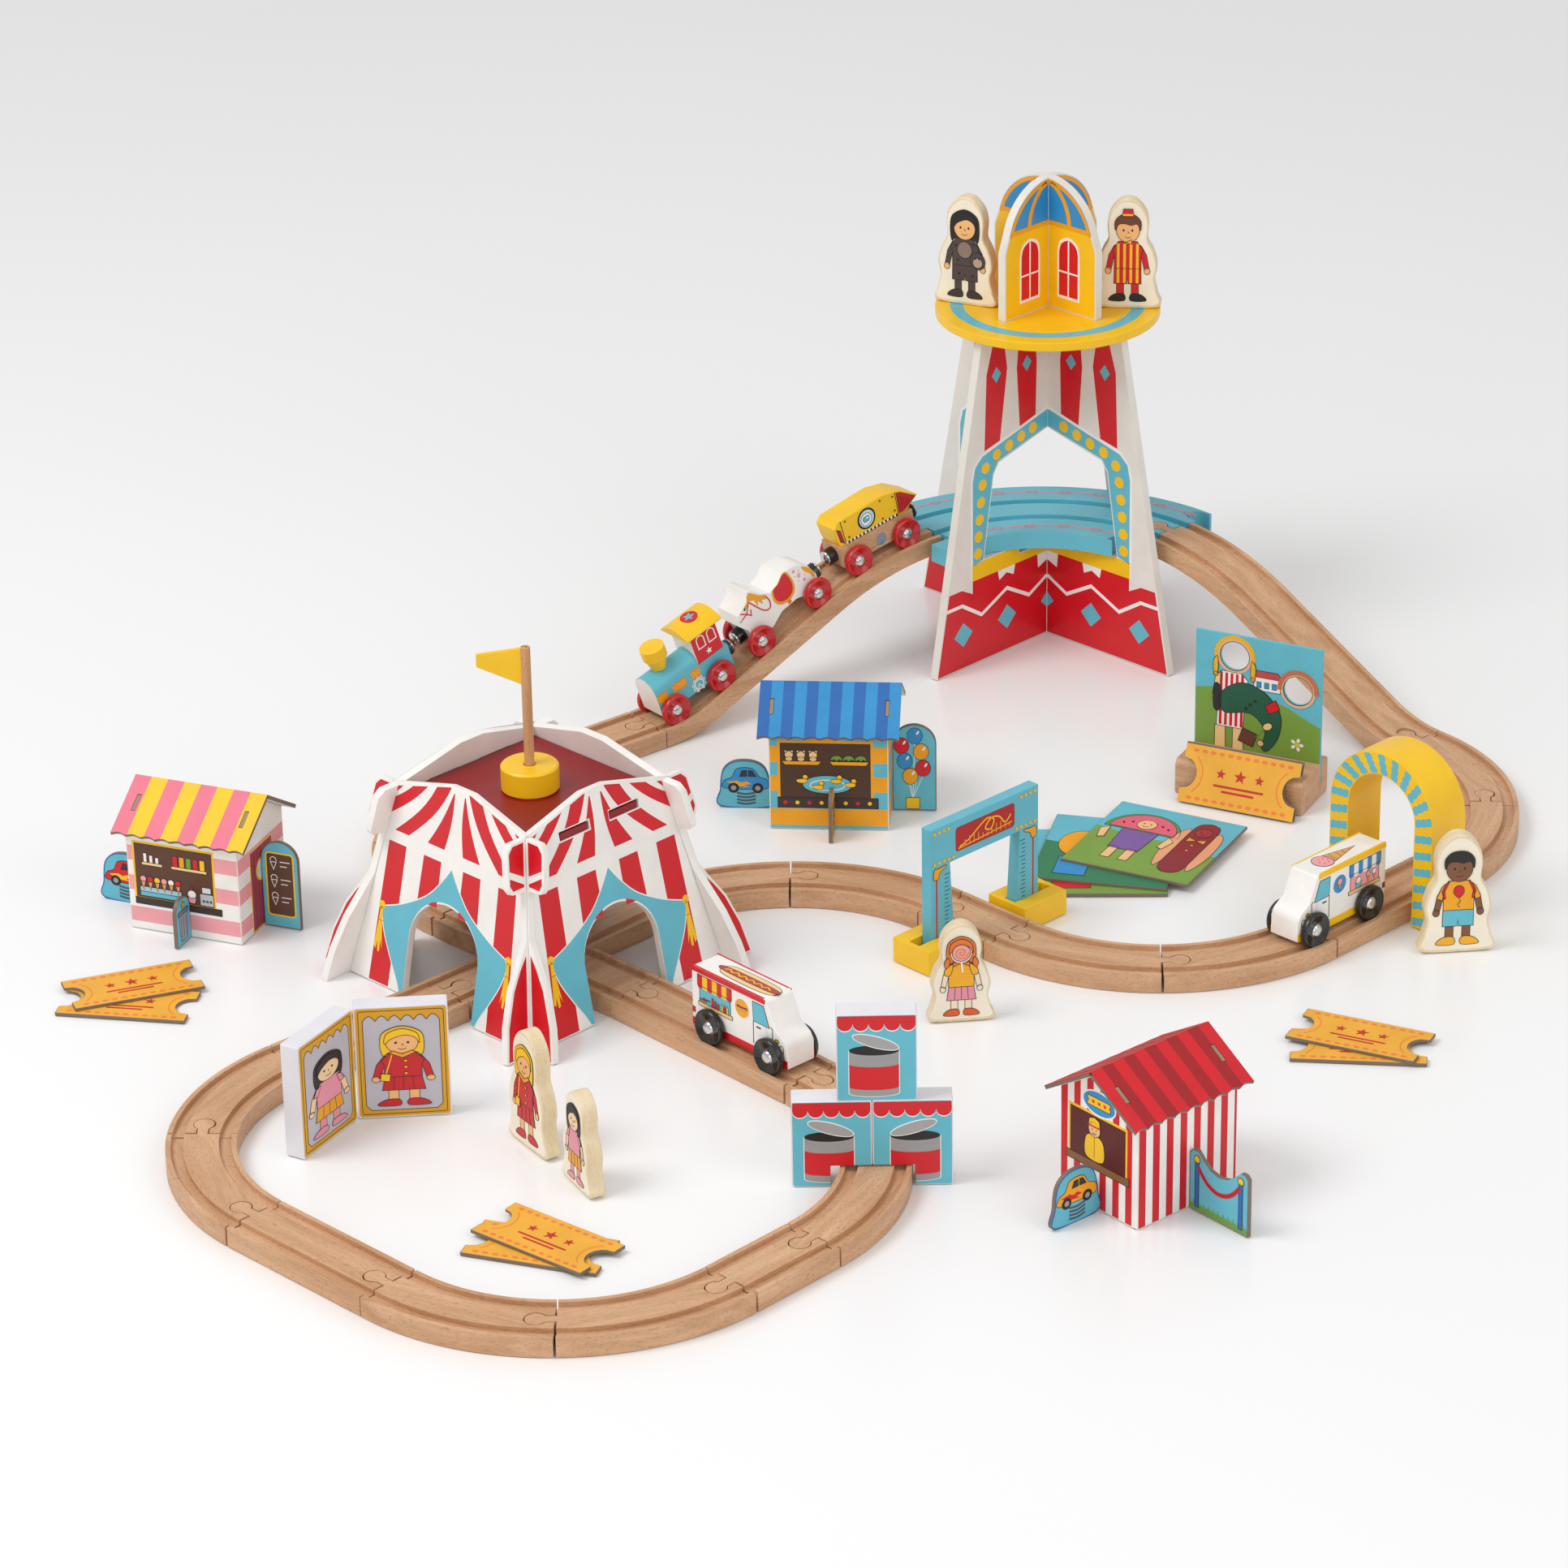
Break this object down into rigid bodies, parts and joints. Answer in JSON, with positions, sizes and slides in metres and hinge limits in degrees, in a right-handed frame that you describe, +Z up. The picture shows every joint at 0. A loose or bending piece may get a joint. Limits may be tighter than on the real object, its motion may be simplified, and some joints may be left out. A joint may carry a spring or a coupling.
{
  "type": "wooden train set",
  "caption": "Fairground wooden train set: grooved figure-of-eight track with a bridge, board tower and tent, rolling train and trucks, card stalls and picture pieces.",
  "frame": {"origin": "centre of the crossing track at floor level, midway across its two grooved roads", "axes": "+Z up; +X to the right and +Y away seen from the front, with the crossing's roads at 45 degrees to both"},
  "size_m": [0.8953, 1.024, 0.3255],
  "materials": {
    "beech": "bare sanded beech, fine straight grain",
    "blue_paint": "sky-blue painted plywood, satin",
    "white_board": "white printed plywood board, satin print",
    "red_board": "dark red painted board, satin",
    "yellow_paint": "orange-yellow painted wood, satin",
    "white_paint": "white painted wood with prints, satin",
    "card": "printed greyboard, matt print, grey-brown cut edges",
    "printed_wood": "pale wood with a printed front, satin",
    "black_tyre": "black moulded plastic wheel with bright hub cap",
    "red_wheel": "red moulded plastic wheel with bright hub cap",
    "magnet": "black cup with a bright magnet disc",
    "paper_card": "printed card, matt print"
  },
  "bodies": {
    "set": {"crossing_track": "beech", "straight_tracks": "beech", "short_tracks": "beech", "front_loop_curves": "beech", "rear_loop_curves": "beech", "ramp_up": "beech", "ramp_down": "beech", "bridge_deck": "blue_paint", "tower_board_lower": "white_board", "tower_board_upper": "white_board", "tower_platform": "white_board", "tent_slotted_walls": "white_board", "tent_plain_walls": "white_board", "tent_roof_board": "red_board", "tent_pole_base": "yellow_paint", "engine_body": "blue_paint", "engine_cab": "red_board", "engine_roof": "yellow_paint", "engine_funnel": "yellow_paint", "engine_magnet": "magnet", "horse_body": "white_paint", "horse_magnets": "magnet", "rocket_chassis": "beech", "rocket_hull": "yellow_paint", "rocket_magnets": "magnet", "platform_figures": "printed_wood", "floor_figures": "printed_wood", "mirror_blocks": "white_paint", "can_blocks": "blue_paint", "arch_tunnel": "yellow_paint", "gauge_gantry": "blue_paint", "gauge_feet": "yellow_paint", "picture_stand": "beech", "ticket_cards": "paper_card", "picture_cards": "paper_card", "cone_kiosk_walls": "card", "cone_kiosk_roof": "card", "cone_kiosk_cutouts": "card", "duck_kiosk_walls": "card", "duck_kiosk_roof": "card", "duck_kiosk_cutouts": "card", "red_kiosk_walls": "card", "red_kiosk_roof": "card", "red_kiosk_cutouts": "card"},
    "pole": {"tent_pole": "beech", "tent_flag": "yellow_paint"},
    "picture": {"picture_board": "paper_card"},
    "hotdog_truck": {"hotdog_truck_body": "white_paint"},
    "hotdog_truck_front_axle": {"hotdog_truck_front_wheels": "black_tyre"},
    "hotdog_truck_rear_axle": {"hotdog_truck_rear_wheels": "black_tyre"},
    "icecream_truck": {"icecream_truck_body": "white_paint"},
    "icecream_truck_front_axle": {"icecream_truck_front_wheels": "black_tyre"},
    "icecream_truck_rear_axle": {"icecream_truck_rear_wheels": "black_tyre"},
    "engine_front_axle": {"engine_front_wheels": "red_wheel"},
    "engine_rear_axle": {"engine_rear_wheels": "red_wheel"},
    "horse_front_axle": {"horse_front_wheels": "red_wheel"},
    "horse_rear_axle": {"horse_rear_wheels": "red_wheel"},
    "rocket_front_axle": {"rocket_front_wheels": "red_wheel"},
    "rocket_rear_axle": {"rocket_rear_wheels": "red_wheel"}
  },
  "joints": [
    {"name": "pole_turn", "type": "hinge", "parent": "set", "child": "pole", "pos_m": [-0.0045, 0, 0.1195], "axis": [0, 0, 1], "continuous": true},
    {"name": "picture_lift", "type": "slide", "parent": "set", "child": "picture", "axis": [0, 0, 1], "range_m": [0, 0.012]},
    {"name": "hotdog_truck_roll", "type": "slide", "parent": "set", "child": "hotdog_truck", "axis": [0.6743, -0.7385, 0], "range_m": [-0.07, 0.009]},
    {"name": "hotdog_truck_front_spin", "type": "hinge", "parent": "hotdog_truck", "child": "hotdog_truck_front_axle", "pos_m": [0.1438, -0.15222, 0.0206], "axis": [0.7385, 0.6743, 0], "range_deg": [-350, 46]},
    {"name": "hotdog_truck_rear_spin", "type": "hinge", "parent": "hotdog_truck", "child": "hotdog_truck_rear_axle", "pos_m": [0.10988, -0.11507, 0.0206], "axis": [0.7385, 0.6743, 0], "range_deg": [-350, 46]},
    {"name": "icecream_truck_roll", "type": "slide", "parent": "set", "child": "icecream_truck", "axis": [-0.7147, -0.6994, 0], "range_m": [-0.055, 0]},
    {"name": "icecream_truck_front_spin", "type": "hinge", "parent": "icecream_truck", "child": "icecream_truck_front_axle", "pos_m": [0.45139, -0.00347, 0.0206], "axis": [0.6994, -0.7147, 0], "range_deg": [-300, 1]},
    {"name": "icecream_truck_rear_spin", "type": "hinge", "parent": "icecream_truck", "child": "icecream_truck_rear_axle", "pos_m": [0.48734, 0.03171, 0.0206], "axis": [0.6994, -0.7147, 0], "range_deg": [-300, 1]},
    {"name": "engine_front_spin", "type": "hinge", "parent": "set", "child": "engine_front_axle", "pos_m": [0.06792, 0.3314, 0.02084], "axis": [0.6154, -0.7882, 0], "continuous": true},
    {"name": "engine_rear_spin", "type": "hinge", "parent": "set", "child": "engine_rear_axle", "pos_m": [0.09767, 0.35462, 0.03413], "axis": [0.6154, -0.7882, 0], "continuous": true},
    {"name": "horse_front_spin", "type": "hinge", "parent": "set", "child": "horse_front_axle", "pos_m": [0.12439, 0.37548, 0.04923], "axis": [0.6154, -0.7882, 0], "continuous": true},
    {"name": "horse_rear_spin", "type": "hinge", "parent": "set", "child": "horse_rear_axle", "pos_m": [0.16159, 0.40453, 0.07024], "axis": [0.6154, -0.7882, 0], "continuous": true},
    {"name": "rocket_front_spin", "type": "hinge", "parent": "set", "child": "rocket_front_axle", "pos_m": [0.18938, 0.42623, 0.08381], "axis": [0.6154, -0.7882, 0], "continuous": true},
    {"name": "rocket_rear_spin", "type": "hinge", "parent": "set", "child": "rocket_rear_axle", "pos_m": [0.22162, 0.4514, 0.09204], "axis": [0.6154, -0.7882, 0], "continuous": true}
  ],
  "couplings": [
    {"joint": "hotdog_truck_front_spin", "follows": "hotdog_truck_roll", "rad_per_m": 86.957},
    {"joint": "hotdog_truck_rear_spin", "follows": "hotdog_truck_roll", "rad_per_m": 86.957},
    {"joint": "icecream_truck_front_spin", "follows": "icecream_truck_roll", "rad_per_m": 86.957},
    {"joint": "icecream_truck_rear_spin", "follows": "icecream_truck_roll", "rad_per_m": 86.957}
  ]
}
